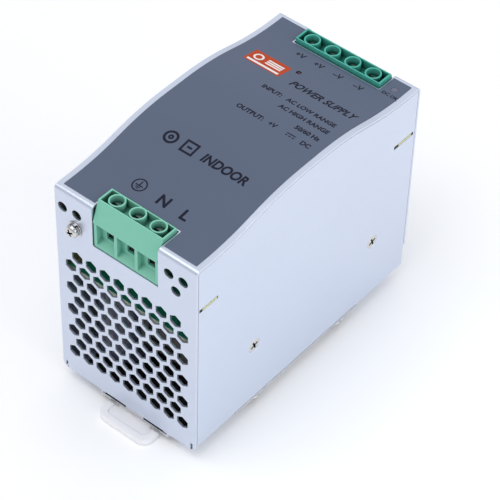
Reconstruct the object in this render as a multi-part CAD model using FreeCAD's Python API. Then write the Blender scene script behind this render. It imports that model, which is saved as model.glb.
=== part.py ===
"""Power supply for a 35 mm mounting rail, as an assembly of separate parts (millimetres).

The case is drawn lying on its back: x runs across the case, y runs from the input end
towards the output end, z rises from the back of the case to the printed front.
While a part is drawn, y = 0 is the outside of the input end and z = 0 is the outside of the
case back. save() then moves it so that the origin is on the seat of the mounting rail.
"""
import math
import os

import FreeCAD
import Part

os.makedirs("parts", exist_ok=True)
V = FreeCAD.Vector

# ---- driving dimensions -------------------------------------------------------------
# case
CASE_W = 65.5          # across the case
CASE_L = 125.2         # input end to output end
END_H = 94.0           # height of the front at both ends
MID_H = 100.0          # height of the front at its raised middle
SHEET = 1.0            # steel sheet of the case
SEAM = 0.15            # gap where cover and chassis meet
FLAT_END = 5.6         # level stretch of the front at each end
RISE_END = 57.0        # where the front reaches its full height
COVER_BEND = 1.8       # outside radius of the cover's bends
CHASSIS_BEND = 3.0     # outside radius of the chassis bends
COVER_FOOT = 13.0      # the output end of the cover stops this far above the back
LIP_OVERLAP = 6.0      # the chassis lip goes on behind it
HALF_W = CASE_W / 2
INSIDE = HALF_W - SHEET

# mounting rail
RAIL_Y = 60.6          # centre line of the rail, from the input end
SEAT_Z = -2.8          # plane that rests on the rail
RAIL_W = 35.0
RAIL_T = 1.0           # thickness of its flanges

# holes in the case
HEX_AF = 5.0           # ventilation holes, across flats
HEX_PITCH = 6.6
HEX_ROWS = {"input": 10, "output": 8}
HEX_TOP_ROW = 63.6     # height of the topmost row
ROUND_HOLES = [(-29.2, 85.4), (-22.5, 85.4), (20.1, 85.4), (26.6, 85.4), (23.3, 78.8)]   # x, z
ROUND_D = 4.3
RELIEF = (1.0, 3.4)    # bend relief slits at the foot of the input end: width, height
RELIEF_X = 30.8
INPUT_NOTCH = (-15.2, 15.2, 11.0, 75.2)    # x from, x to, depth along y, lowest z
OUTPUT_NOTCH = (-18.1, 21.7, 10.9, 75.2)
LED_HOLE = 4.0
TRIMMER_HOLE = 2.8
SLOT_H = 1.6           # slots in the side walls for the tabs of the shelves

# printed film
LABEL_T = 0.2
LABEL_EDGE = 2.35      # bare metal left beside the film
LABEL_END = 2.6
LABEL_GAP = 0.7        # bare metal left round the terminal openings

# screws
SIDE_SCREWS = [32.5, 102.5]    # along y
SIDE_SCREW_Z = 31.0
SIDE_HEAD_R = 3.0
SIDE_SHANK_R = 1.5
EARTH_AT = (-23.3, 78.5)       # x, z
EARTH_HEAD = (5.2, 1.9)        # diameter, height
EARTH_THREAD = 2.9
EARTH_SEAT = -1.25     # underside of the earth screw's head, outside the end face
EARTH_FLAT = (6.3, 0.5)        # flat washer: diameter, thickness
CLIP_SCREWS = [36.2, 86.0]     # along y
SCREW_X = 29.0

# terminal blocks
POLE_PITCH = 9.5
INPUT_POLES = [-POLE_PITCH, 0.0, POLE_PITCH]
OUTPUT_MID_X = 1.85
OUTPUT_POLES = [OUTPUT_MID_X + POLE_PITCH * k for k in (-1.5, -0.5, 0.5, 1.5)]
BLOCK_Z0 = 75.3        # underside of the blocks
BLOCK_TOP = 96.0
BLOCK_BACK = 10.4      # depth of the blocks behind the end face
TRAY_DEPTH = 4.0       # sunk top between the wells
WELL_Y = 7.1           # screw axis behind the end face
WELL_IN = 5.15
WELL_OUT = 6.4
BAY_W = 8.1
BAY_Y = 3.2            # back plane of the wire bays
BAY_TOP = 86.2
CAVITY = (4.5, 9.7)    # room for the cage, along y
CAVITY_TOP = 88.9
WIRE_HOLE = (79.2, 82.8)
HEAD_SEAT = 91.2       # clamp screw head, turned fully out
HEAD_TOP = 93.4
HEAD_D = 4.5
CLAMP_D = 2.5          # clamp screw thread
CLAMP_FIT = 0.05
CAGE_TRAVEL = 3.0
CAGE_SHEET = 0.9
THINNEST_WIRE = 1.4    # gap left between cage and contact bar when the cage is up
BAR_Z = (83.2, 84.0)   # contact bar
TIE_Y = 9.3

# rail clip and latch
CLIP_X = 2.7           # middle of the clip
CLIP_SHEET = 1.0
CLIP_HALF = 16.7
CLIP_WING = (24.0, 97.0)       # screwed wings, along y
GUIDES = (6.5, 36.5)   # latch guides, along y
PLATE_LOW = SEAT_Z + 0.2
PLATE_TOP = PLATE_LOW + CLIP_SHEET
LIP_TOP = SEAT_Z - RAIL_T - 0.35
REACH = RAIL_W / 2 - 1.8       # how far hooks and lip reach under the rail
LATCH_HALF = 7.5
LATCH_LOW = -5.2       # lowest plane of the clip
SPRING_SLOT = (10.3, 30.8)     # spring window in the latch, along y
SPRING_END = 12.0      # fixed end of the spring
TAB_HALF = 12.5        # pull tab
TAB_OUT = 8.0
TAB_RIM = 3.2
TAB_RIM_H = 0.7

# boards and shelves
BOARD_Z = 53.2         # underside of the main board
BOARD_T = 1.6
BOARD_TOP = BOARD_Z + BOARD_T
BOARD_HALF = 30.3
SHELF_T = 1.2
SHELF_Y = (3.0, 11.2)
SHELF_Z = {"input": 73.7, "output": 72.8}   # middle of each shelf sheet

# heat sinks, capacitors, lamp, trimmer and range switch
SINK_X0 = 28.6
SINK_Y = (24.0, 111.0)
SINK_Z0 = 20.0
DEVICE_Z = (22.0, 38.0)
BULK_CAPS = [(-15.0, 17.0), (-15.0, 41.0)]
BULK_D, BULK_L = 22.0, 42.0
OUT_CAPS = [(-20.0, 113.0), (-5.0, 113.0), (10.0, 113.0)]
OUT_D, OUT_L = 12.5, 30.0
LED_AT = (26.6, 117.3)
TRIMMER_AT = (-4.6, 100.3)
TRIMMER_TOP = 84.0
TRIMMER_TIP = 95.3
TRIMMER_D = 1.7
SWITCH_Y = 44.0        # range switch window in the left wall
SWITCH_Z = 66.0
SWITCH_TRAVEL = 4.0
SWITCH_WINDOW = (2.2, 2.6)     # half the window beyond the travel, half its height


# ---- helpers ------------------------------------------------------------------------
def box(x0, x1, y0, y1, z0, z1):
    """Block between two corners."""
    return Part.makeBox(x1 - x0, y1 - y0, z1 - z0, V(x0, y0, z0))


def rod(x, y, z0, z1, diameter):
    """Cylinder along z."""
    return Part.makeCylinder(diameter / 2, z1 - z0, V(x, y, z0), V(0, 0, 1))


def rod_x(y, z, x0, x1, diameter):
    """Cylinder along x."""
    return Part.makeCylinder(diameter / 2, x1 - x0, V(x0, y, z), V(1, 0, 0))


def rod_y(x, z, y0, y1, diameter):
    """Cylinder along y."""
    return Part.makeCylinder(diameter / 2, y1 - y0, V(x, y0, z), V(0, 1, 0))


def join(shapes):
    """One solid from touching or overlapping shapes."""
    first, rest = shapes[0], shapes[1:]
    return first.fuse(rest).removeSplitter() if rest else first


def group(solids):
    """Several separate solids in one node."""
    return Part.makeCompound(solids)


def bar(points, axis, start, end):
    """Straight bar: an outline of corner points, extruded along x or y."""
    if axis == "x":
        ring = [V(start, a, b) for a, b in points]
        run = V(end - start, 0, 0)
    else:
        ring = [V(a, start, b) for a, b in points]
        run = V(0, end - start, 0)
    return Part.Face(Part.makePolygon(ring + ring[:1])).extrude(run)


def at_output(shape):
    """The same shape at the output end of the case."""
    return shape.mirror(V(0, CASE_L / 2, 0), V(0, 1, 0))


def edges_where(shape, test):
    """Edges whose middle point passes the test."""
    return [e for e in shape.Edges if test(e.valueAt((e.FirstParameter + e.LastParameter) / 2))]


def save(name, shape):
    """Move a finished part into the rail frame and write it."""
    placed = shape.copy()
    placed.translate(V(0, -RAIL_Y, -SEAT_Z))
    placed.exportStep("parts/%s.step" % name)


# ---- the curved front ---------------------------------------------------------------
def front_curve(inward):
    """Edges of the front outline, from the input end round to the output end.

    inward is the distance inside the cover's outer surface. The front rises on two equal
    tangent arcs to its level middle, and falls the same way.
    """
    rise = MID_H - END_H
    run = RISE_END - FLAT_END
    radius = (run * run + rise * rise) / (4 * rise)
    half = math.asin(run / 2 / radius)
    corner = COVER_BEND - inward
    top, level = END_H - inward, MID_H - inward
    edges = []

    def arc(cy, cz, r, a0, a1):
        pts = [V(0, cy + r * math.sin(a), cz + r * math.cos(a)) for a in (a0, (a0 + a1) / 2, a1)]
        edges.append(Part.Arc(*pts).toShape())
        return pts[2]

    def line(p, q):
        edges.append(Part.LineSegment(p, q).toShape())
        return q

    at = line(V(0, inward, 0), V(0, inward, END_H - COVER_BEND))
    if corner > 0:
        at = arc(COVER_BEND, END_H - COVER_BEND, corner, -math.pi / 2, 0)
    at = line(at, V(0, FLAT_END, top))
    at = arc(FLAT_END, END_H + radius, radius + inward, math.pi, math.pi - half)
    at = arc(RISE_END, MID_H - radius, radius - inward, -half, 0)
    at = line(at, V(0, CASE_L - RISE_END, level))
    at = arc(CASE_L - RISE_END, MID_H - radius, radius - inward, 0, half)
    at = arc(CASE_L - FLAT_END, END_H + radius, radius + inward, math.pi + half, math.pi)
    at = line(at, V(0, CASE_L - COVER_BEND, top))
    if corner > 0:
        at = arc(CASE_L - COVER_BEND, END_H - COVER_BEND, corner, 0, math.pi / 2)
    line(at, V(0, CASE_L - inward, 0))
    return edges


def front_prism(inward, x0, x1):
    """Everything below the front surface at a given depth inside it."""
    edges = front_curve(inward)
    close = Part.LineSegment(V(0, CASE_L - inward, 0), V(0, inward, 0)).toShape()
    solid = Part.Face(Part.Wire(edges + [close])).extrude(V(x1 - x0, 0, 0))
    solid.translate(V(x0, 0, 0))
    return solid


def hexagon(x, z, y0, y1):
    """Six-sided hole through an end face, with two upright sides."""
    r = HEX_AF / math.sqrt(3)
    angles = [math.radians(90 + 60 * k) for k in range(6)]
    return bar([(x + r * math.cos(a), z + r * math.sin(a)) for a in angles], "y", y0, y1)


def honeycomb(rows, y0, y1):
    """All the ventilation holes of one end face."""
    holes = []
    for row in range(rows):
        count = 8 if row % 2 == 0 else 9
        z = HEX_TOP_ROW - row * HEX_PITCH * math.sqrt(3) / 2
        for k in range(count):
            holes.append(hexagon((k - (count - 1) / 2) * HEX_PITCH, z, y0, y1))
    return holes


def terminal_notch(x0, x1, depth, low):
    """Opening for a terminal block at the input end: end face and front together."""
    corner = 0.3
    return bar([(x0 + corner, low), (x1, low), (x1, END_H + 5), (x0, END_H + 5),
                (x0, low + corner)], "y", -1, depth)


# ---- case ---------------------------------------------------------------------------
def make_cover():
    outer = front_prism(0, -HALF_W, HALF_W)
    inner = front_prism(SHEET, -HALF_W - 1, HALF_W + 1)
    shell = outer.cut(inner)
    shell = shell.cut(box(-50, 50, CASE_L - 5, CASE_L + 5, -1, COVER_FOOT))
    low = edges_where(shell, lambda p: p.z < 0.01 and abs(abs(p.x) - HALF_W) < 0.01)
    shell = shell.makeFillet(CHASSIS_BEND, low)
    holes = honeycomb(HEX_ROWS["input"], -1, 3) + honeycomb(HEX_ROWS["output"], CASE_L - 3, CASE_L + 1)
    holes += [rod_y(x, z, -1, 3, ROUND_D) for x, z in ROUND_HOLES]
    holes.append(rod_y(EARTH_AT[0], EARTH_AT[1], -1, 3, EARTH_THREAD + 0.3))
    half = RELIEF[0] / 2
    holes += [box(x - half, x + half, -1, 3, 0.3, RELIEF[1]) for x in (-RELIEF_X, RELIEF_X)]
    holes.append(terminal_notch(*INPUT_NOTCH))
    holes.append(at_output(terminal_notch(*OUTPUT_NOTCH)))
    holes.append(rod(LED_AT[0], LED_AT[1], 80, 110, LED_HOLE))
    holes.append(rod(TRIMMER_AT[0], TRIMMER_AT[1], 80, 110, TRIMMER_HOLE))
    return shell.cut(holes)


def make_chassis():
    tall = MID_H + 5
    outer = box(-HALF_W, HALF_W, SHEET + SEAM, CASE_L - SHEET - SEAM, 0, tall)
    inner = box(-INSIDE, INSIDE, 0, CASE_L, SHEET, tall + 1)
    corners = edges_where(outer, lambda p: p.z < 0.01 and abs(abs(p.x) - HALF_W) < 0.01)
    outer = outer.makeFillet(CHASSIS_BEND, corners)
    bends = edges_where(inner, lambda p: abs(p.z - SHEET) < 0.01 and abs(abs(p.x) - INSIDE) < 0.01)
    inner = inner.makeFillet(CHASSIS_BEND - SHEET, bends)
    shell = outer.cut(inner).common(front_prism(SHEET + SEAM, -50, 50))
    end = CASE_L - SHEET - SEAM
    lip = box(-INSIDE, INSIDE, end - SHEET, end, SHEET / 2, COVER_FOOT + LIP_OVERLAP)
    shell = join([shell, lip.common(outer)])
    cuts = []
    for side in (-1, 1):
        wall = sorted((side * (HALF_W + 1), side * (INSIDE - 1)))
        cuts.append(box(wall[0], wall[1], 1.6, 11.4, SHELF_Z["input"] - SLOT_H / 2,
                        SHELF_Z["input"] + SLOT_H / 2))
        cuts.append(box(wall[0], wall[1], 111.5, 123.2, SHELF_Z["output"] - SLOT_H / 2,
                        SHELF_Z["output"] + SLOT_H / 2))
        cuts += [countersink(side, y) for y in SIDE_SCREWS]
        cuts += [rod(side * SCREW_X, y, -1, 3, 3.05) for y in CLIP_SCREWS]
    long, high = SWITCH_TRAVEL / 2 + SWITCH_WINDOW[0], SWITCH_WINDOW[1]
    cuts.append(box(-HALF_W - 1, -INSIDE + 1, SWITCH_Y - long, SWITCH_Y + long,
                    SWITCH_Z - high, SWITCH_Z + high))
    return shell.cut(cuts)


def countersink(side, y):
    """Room for a countersunk screw in a side wall and in what it is screwed to."""
    head = SIDE_HEAD_R + 0.2
    at, inward = V(side * HALF_W, y, SIDE_SCREW_Z), V(-side, 0, 0)
    cone = Part.makeCone(head, SIDE_SHANK_R, head - SIDE_SHANK_R, at, inward)
    shank = Part.makeCylinder(SIDE_SHANK_R, 5, at, inward)
    lead = Part.makeCylinder(head, 1, at - inward, inward)
    return join([cone, shank, lead])


def cross_recess(depth, arm, width):
    """Cross recess in a screw head whose top is at z = 0."""
    return join([box(-arm, arm, -width / 2, width / 2, -depth, 1),
                 box(-width / 2, width / 2, -arm, arm, -depth, 1)])


def pan_screw(head_d, head_h, shank_d, length):
    """Pan-head screw with its seat at z = 0 and its head above."""
    head = rod(0, 0, 0, head_h, head_d)
    head = head.makeFillet(head_h * 0.6, edges_where(head, lambda p: p.z > head_h - 0.01))
    recess = cross_recess(head_h * 0.65, head_d * 0.32, head_d * 0.14)
    recess.translate(V(0, 0, head_h))
    return join([head, rod(0, 0, -length, 0.1, shank_d)]).cut(recess)


def turned(shape, axis, degrees, x, y, z):
    """Copy of a shape turned about its own origin, then moved."""
    out = shape.copy()
    out.rotate(V(0, 0, 0), axis, degrees)
    out.translate(V(x, y, z))
    return out


def make_side_screws():
    """Countersunk cross-head screws that hold the heat sinks to the side walls."""
    depth = SIDE_HEAD_R - SIDE_SHANK_R
    cone = Part.makeCone(SIDE_SHANK_R, SIDE_HEAD_R, depth, V(0, 0, -depth), V(0, 0, 1))
    shank = rod(0, 0, -4.0, -depth + 0.1, 2 * SIDE_SHANK_R - 0.02)
    screw = join([cone, shank]).cut(cross_recess(1.3, 1.9, 0.9))
    out = []
    for side in (-1, 1):
        for y in SIDE_SCREWS:
            out.append(turned(screw, V(0, 1, 0), 90 * side, side * (HALF_W - 0.05), y, SIDE_SCREW_Z))
    return group(out)


def make_label():
    sheet = front_prism(-LABEL_T, -HALF_W + LABEL_EDGE, HALF_W - LABEL_EDGE)
    sheet = sheet.cut(front_prism(0, -50, 50))
    sheet = sheet.common(box(-50, 50, LABEL_END, CASE_L - LABEL_END, END_H - 5, MID_H + 5))
    x0, x1, depth = INPUT_NOTCH[:3]
    cuts = [box(x0 - LABEL_GAP, x1 + LABEL_GAP, -1, depth + LABEL_GAP, 80, 110)]
    x0, x1, depth = OUTPUT_NOTCH[:3]
    cuts.append(at_output(box(x0 - LABEL_GAP, x1 + LABEL_GAP, -1, depth + LABEL_GAP, 80, 110)))
    cuts.append(rod(LED_AT[0], LED_AT[1], 80, 110, LED_HOLE - 1.1))
    cuts.append(rod(TRIMMER_AT[0], TRIMMER_AT[1], 80, 110, TRIMMER_HOLE - 0.6))
    return sheet.cut(cuts)


def make_earth_screw():
    screw = pan_screw(*EARTH_HEAD, EARTH_THREAD, 7.5)
    return turned(screw, V(1, 0, 0), 90, EARTH_AT[0], EARTH_SEAT, EARTH_AT[1])


def make_earth_washers():
    """Split spring washer on a flat washer."""
    x, z = EARTH_AT
    wide, thick = EARTH_FLAT
    bore = rod_y(x, z, -3, 1, EARTH_THREAD + 0.2)
    flat = rod_y(x, z, -thick, 0, wide).cut(bore)
    spring = rod_y(x, z, EARTH_SEAT, -thick, EARTH_HEAD[0] + 0.2).cut(bore)
    spring = spring.cut(box(x + 1, x + 4, -3, 1, z - 0.35, z + 0.35))
    return group([flat, spring])


def make_earth_nut():
    x, z = EARTH_AT
    r = 5.5 / math.sqrt(3)
    pts = [(x + r * math.cos(math.radians(60 * k)), z + r * math.sin(math.radians(60 * k)))
           for k in range(6)]
    return bar(pts, "y", SHEET, SHEET + 2.4).cut(rod_y(x, z, 0, 6, EARTH_THREAD))


# ---- rail clip ----------------------------------------------------------------------
def make_clip():
    """Folded steel clip with two fixed hooks, latch guides and the rail seat."""
    left, right = CLIP_X - CLIP_HALF, CLIP_X + CLIP_HALF
    hook_y = RAIL_Y + RAIL_W / 2 + 0.3
    y0, y1 = 0.3, CLIP_WING[1]
    out = [box(left, right, y0, hook_y + CLIP_SHEET, PLATE_LOW, PLATE_TOP)]
    for side in (-1, 1):
        web = sorted((CLIP_X + side * CLIP_HALF, CLIP_X + side * (CLIP_HALF - CLIP_SHEET)))
        out.append(box(web[0], web[1], y0, y1, PLATE_LOW, 0))
        out.append(box(web[0] - 1.5, web[1] + 1.5, y0, y1, -CLIP_SHEET, 0))
        wing = sorted((CLIP_X + side * CLIP_HALF, side * (HALF_W - 1.0)))
        out.append(box(wing[0], wing[1], *CLIP_WING, -CLIP_SHEET, 0))
        hook = sorted((CLIP_X + side * CLIP_HALF, CLIP_X + side * (CLIP_HALF - 9)))
        out.append(box(hook[0], hook[1], hook_y, hook_y + CLIP_SHEET, LATCH_LOW, PLATE_TOP))
        out.append(box(hook[0], hook[1], RAIL_Y + REACH, hook_y + CLIP_SHEET, LATCH_LOW, LIP_TOP))
        guide = sorted((CLIP_X + side * 10.9, CLIP_X + side * 9.9))
        out.append(box(guide[0], guide[1], *GUIDES, LATCH_LOW + 0.2, PLATE_TOP))
        lip = sorted((CLIP_X + side * 10.9, CLIP_X + side * 7.9))
        out.append(box(lip[0], lip[1], *GUIDES, LATCH_LOW + 0.2, LATCH_LOW + 1.05))
    out.append(box(CLIP_X - 4.4, CLIP_X + 4.4, y0, 8, PLATE_LOW, 0))
    out.append(box(CLIP_X - 3, CLIP_X + 3, SPRING_END - 1.2, SPRING_END, LATCH_LOW + 0.4, PLATE_TOP))
    seat = RAIL_W / 2 - 2.1
    out.append(box(left, right, RAIL_Y - seat, RAIL_Y + seat, SEAT_Z, PLATE_TOP))
    clip = join(out)
    holes = [rod(side * SCREW_X, y, -3, 1, 3.3) for side in (-1, 1) for y in CLIP_SCREWS]
    return clip.cut(holes)


def make_clip_screws():
    screw = pan_screw(6.0, 2.0, 2.98, 4.5)
    spots = [(side * SCREW_X, y) for side in (-1, 1) for y in CLIP_SCREWS]
    return group([turned(screw, V(1, 0, 0), 180, x, y, -CLIP_SHEET) for x, y in spots])


def make_latch():
    """Nylon latch: pull tab, T-shaped slide with a spring window, and the rail lip."""
    top = PLATE_LOW - 0.3
    tab_top = top - 0.4
    tab = box(CLIP_X - TAB_HALF, CLIP_X + TAB_HALF, -TAB_OUT, -0.2, LATCH_LOW, tab_top)
    tab = tab.makeFillet(4.4, edges_where(tab, lambda p: p.y < 0.1 - TAB_OUT
                                          and abs(p.z - (LATCH_LOW + tab_top) / 2) < 0.01))
    rim = tab.copy()
    rim.translate(V(0, 0, TAB_RIM_H))
    inner = box(CLIP_X - TAB_HALF + TAB_RIM, CLIP_X + TAB_HALF - TAB_RIM, TAB_RIM - TAB_OUT, 1,
                tab_top, tab_top + 5)
    inner = inner.makeFillet(2.0, edges_where(inner, lambda p: p.y < TAB_RIM - TAB_OUT + 0.1
                                              and abs(p.z - tab_top - 2.5) < 0.01))
    tab = join([tab, rim.cut(inner)])
    tab = tab.makeFillet(0.6, edges_where(tab, lambda p: p.z > tab_top + TAB_RIM_H - 0.01
                                          or p.z < LATCH_LOW + 0.01))
    left, right = CLIP_X - LATCH_HALF, CLIP_X + LATCH_HALF
    near, end = RAIL_Y - REACH, RAIL_Y - RAIL_W / 2
    body = join([box(left, right, -3.0, end - 0.3, LATCH_LOW, tab_top),
                 box(left, right, 0.6, end - 0.3, LATCH_LOW, top),
                 box(CLIP_X - 9.5, CLIP_X + 9.5, 0.6, 41.0, top - 0.9, top)])
    lip = bar([(end - 2, LATCH_LOW), (near - 0.8, LATCH_LOW), (near, LATCH_LOW + 0.7),
               (near, LIP_TOP), (end - 2, LIP_TOP)], "x", left, right)
    window = box(CLIP_X - 4.6, CLIP_X + 4.6, *SPRING_SLOT, LATCH_LOW - 1, top + 1)
    return join([tab, body, lip]).cut(window)


def make_latch_spring():
    """Flat zigzag spring between the clip's tab and the end of the latch window."""
    y0, y1 = SPRING_END, SPRING_SLOT[1]
    folds = 9
    step = (y1 - y0 - 0.6) / folds
    width, t = 3.9, 0.45
    z0, z1 = LATCH_LOW + 0.5, PLATE_LOW - 0.6
    out = []
    for k in range(folds + 1):
        y = y0 + k * step
        out.append(box(CLIP_X - width, CLIP_X + width, y, y + t, z0, z1))
        if k < folds:
            x = CLIP_X + (width - t if k % 2 == 0 else -width)
            out.append(box(x, x + t, y, y + step + t, z0, z1))
    return join(out)


# ---- boards and shelves -------------------------------------------------------------
def make_main_board():
    return box(-BOARD_HALF, BOARD_HALF, 2.2, CASE_L - 2.2, BOARD_Z, BOARD_TOP)


def shelf_sheet(middle):
    """Sheet across the case with a tab in each side wall and two legs down to the board."""
    z0, z1 = middle - SHELF_T / 2, middle + SHELF_T / 2
    y0, y1 = SHELF_Y
    inside = INSIDE - 0.2
    out = [box(-inside, inside, y0, y1, z0, z1),
           box(-HALF_W + 0.02, HALF_W - 0.02, y0 + 0.2, y1 - 0.2, z0, z1)]
    for side in (-1, 1):
        leg = sorted((side * inside, side * (inside - SHELF_T)))
        foot = sorted((side * inside, side * (inside - 5)))
        out.append(box(leg[0], leg[1], y0, y1, BOARD_TOP, z1))
        out.append(box(foot[0], foot[1], y0, y1, BOARD_TOP, BOARD_TOP + SHELF_T))
    return join(out)


def make_input_board():
    return box(-18, 28, 2.4, 24, SHELF_Z["input"] + SHELF_T / 2, BLOCK_Z0)


def make_output_board():
    z0 = SHELF_Z["output"] + SHELF_T / 2
    return box(-28, 30.5, CASE_L - 30, CASE_L - 2.4, z0, BLOCK_Z0)


def make_input_risers():
    """Tinned bars that carry the mains from the terminal board to the main board."""
    top = SHELF_Z["input"] + SHELF_T / 2
    return group([box(x - 1, x + 1, 15, 15.8, BOARD_TOP, top) for x in INPUT_POLES])


def make_output_risers():
    top = SHELF_Z["output"] + SHELF_T / 2
    y = CASE_L - 15.8
    return group([box(x - 1.6, x + 1.6, y, y + 0.8, BOARD_TOP, top) for x in OUTPUT_POLES])


def make_insulation():
    """Thin insulating sheet between the case back and the parts above it."""
    return box(-26, 26, 3, CASE_L - 3, SHEET, SHEET + 0.4)


# ---- heat sinks and power parts -----------------------------------------------------
def make_heat_sink(side):
    x0, x1 = sorted((side * SINK_X0, side * INSIDE))
    sink = box(x0, x1, SINK_Y[0], SINK_Y[1], SINK_Z0, BOARD_Z)
    return sink.cut([countersink(side, y) for y in SIDE_SCREWS])


def power_device(side, y, width, thick):
    """Flat power part pressed on a heat sink, with three legs up to the board."""
    face = side * SINK_X0
    x0, x1 = sorted((face, face - side * thick))
    out = [box(x0, x1, y - width / 2, y + width / 2, DEVICE_Z[0], DEVICE_Z[1])]
    leg = face - side * thick / 2
    for k in (-1, 0, 1):
        out.append(box(leg - 0.3, leg + 0.3, y + 2.54 * k - 0.4, y + 2.54 * k + 0.4,
                       DEVICE_Z[1] - 0.5, BOARD_Z))
    return join(out)


def can(x, y, diameter, length):
    """Upright can capacitor hanging from the board, with its crimp groove and vent."""
    z1 = BOARD_Z - 0.2
    z0 = z1 - length
    body = rod(x, y, z0, z1, diameter)
    body = body.makeFillet(0.8, edges_where(body, lambda p: p.z < z0 + 0.01))
    groove = rod(x, y, z1 - 3.0, z1 - 2.0, diameter + 2).cut(rod(x, y, z1 - 4, z1 - 1, diameter - 1.0))
    arm = diameter * 0.32
    vent = join([box(x - arm, x + arm, y - 0.15, y + 0.15, z0 - 1, z0 + 0.25),
                 box(x - 0.15, x + 0.15, y - arm, y + arm, z0 - 1, z0 + 0.25)])
    return body.cut([groove, vent])


def make_choke():
    """Mains filter choke: ferrite frame and two windings on one bobbin."""
    x, y, z1 = 10.0, 16.0, BOARD_Z - 0.4
    frame = box(x - 11, x + 11, y - 7, y + 7, z1 - 24, z1)
    frame = frame.cut([box(x - 7.5, x + 7.5, y - 8, y - 2.6, z1 - 20, z1 - 4),
                       box(x - 7.5, x + 7.5, y + 2.6, y + 8, z1 - 20, z1 - 4),
                       box(x - 7.5, x - 4, y - 3, y + 3, z1 - 20, z1 - 4),
                       box(x + 4, x + 7.5, y - 3, y + 3, z1 - 20, z1 - 4)])
    winding = box(x - 7.3, x + 7.3, y - 6.2, y + 6.2, z1 - 19.6, z1 - 4.4)
    winding = winding.cut(box(x - 4, x + 4, y - 2.6, y + 2.6, z1 - 30, z1))
    winding = winding.cut(box(x - 8, x + 8, y - 7, y + 7, z1 - 12.6, z1 - 11.4).cut(
        box(x - 5.2, x + 5.2, y - 3.8, y + 3.8, z1 - 13, z1 - 11)))
    return frame, winding


def make_filter_capacitor():
    """Moulded box capacitor across the mains."""
    block = box(9.5, 24.0, 28.0, 37.0, BOARD_Z - 17, BOARD_Z - 0.3)
    return block.makeFillet(0.6, edges_where(block, lambda p: p.z < BOARD_Z - 16.9))


def make_fuse():
    """Glass cartridge fuse in two end caps, above the board."""
    y, z = 17.0, BOARD_TOP + 3.2
    starts = (-28.5, -16.5)
    glass = rod_x(y, z, starts[0] + 2, starts[1] + 2, 4.6)
    caps = [rod_x(y, z, x, x + 4, 5.2) for x in starts]
    feet = [box(x + 1, x + 3, y - 0.4, y + 0.4, BOARD_TOP, z) for x in starts]
    return join([glass] + caps + feet)


def make_thermistor():
    x, y = 2.0, 27.0
    disc = rod_y(x, BOARD_Z - 9, y - 2, y + 2, 12.0)
    legs = [box(x + s - 0.4, x + s + 0.4, y - 0.4, y + 0.4, BOARD_Z - 6, BOARD_Z) for s in (-3.5, 3.5)]
    return join([disc] + legs)


def make_transformer():
    """Ferrite core halves, bobbin and taped winding, hanging from the board."""
    x, y, z1 = -1.0, 70.0, BOARD_Z - 3.0
    w, d, h = 38.0, 18.0, 34.0
    z0 = z1 - h
    core = box(x - w / 2, x + w / 2, y - d / 2, y + d / 2, z0, z1)
    window = 9.0
    leg = 6.0
    for s in (-1, 1):
        x0, x1 = sorted((x + s * (w / 2 - leg), x + s * (w / 2 - leg - window)))
        core = core.cut(box(x0, x1, y - d, y + d, z0 + leg, z1 - leg))
    centre = w / 2 - leg - window
    bobbin = box(x - centre - 1.2, x + centre + 1.2, y - d / 2 - 1.2, y + d / 2 + 1.2,
                 z0 + leg + 0.1, z1 - leg - 0.1)
    for z in (z0 + leg + 0.1, z1 - leg - 1.1):
        bobbin = bobbin.fuse(box(x - centre - window + 0.3, x + centre + window - 0.3,
                                 y - d / 2 - 8.5, y + d / 2 + 8.5, z, z + 1.0))
    rows = [box(x - 11, x + 11, y + s * (d / 2 + 5.5) - 2.5, y + s * (d / 2 + 5.5) + 2.5,
                z1 - leg - 0.2, BOARD_Z) for s in (-1, 1)]
    bobbin = bobbin.fuse(rows).removeSplitter()
    bobbin = bobbin.cut(box(x - centre, x + centre, y - d / 2, y + d / 2, z0, z1))
    z_low, z_high = z0 + leg + 1.2, z1 - leg - 1.2
    winding = box(x - centre - 7.6, x + centre + 7.6, y - d / 2 - 7.6, y + d / 2 + 7.6, z_low, z_high)
    corners = edges_where(winding, lambda p: abs(p.z - (z_low + z_high) / 2) < 0.01)
    winding = winding.makeFillet(5.0, corners)
    hole = box(x - centre - 1.2, x + centre + 1.2, y - d / 2 - 1.2, y + d / 2 + 1.2, z0, z1)
    return core, bobbin, winding.cut(hole)


def make_inductor():
    """Ring core with its winding, standing on edge under the board."""
    x, y, z = 12.0, 96.0, BOARD_Z - 14.5
    core = rod_y(x, z, y - 3.5, y + 3.5, 18.0).cut(rod_y(x, z, y - 4.5, y + 4.5, 10.0))
    winding = rod_y(x, z, y - 5.1, y + 5.1, 21.2).cut([rod_y(x, z, y - 6, y + 6, 6.8), core])
    gap = box(x - 2.0, x + 2.0, y - 7, y + 7, z - 12, z)
    return core, winding.cut(gap)


def make_control_chips():
    """Controller and isolating couplers on the upper side of the board."""
    spots = [(-6, 52, 10, 6.5), (14, 60, 5, 6.5), (14, 72, 5, 6.5), (-18, 60, 6, 5)]
    return group([box(x - w / 2, x + w / 2, y - d / 2, y + d / 2, BOARD_TOP, BOARD_TOP + 3.2)
                  for x, y, w, d in spots])


def make_led():
    """Indicator lamp on two tall legs, its dome just through the front."""
    x, y = LED_AT
    tip = END_H + LABEL_T + 0.15
    dome = rod(x, y, tip - 6.0, tip, 2.5)
    dome = dome.makeFillet(1.0, edges_where(dome, lambda p: p.z > tip - 0.01))
    legs = [box(x + s * 0.9 - 0.3, x + s * 0.9 + 0.3, y - 0.3, y + 0.3, BLOCK_Z0, tip - 6.5)
            for s in (-1, 1)]
    return join([dome, rod(x, y, tip - 7.0, tip - 5.9, 3.0)] + legs)


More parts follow.
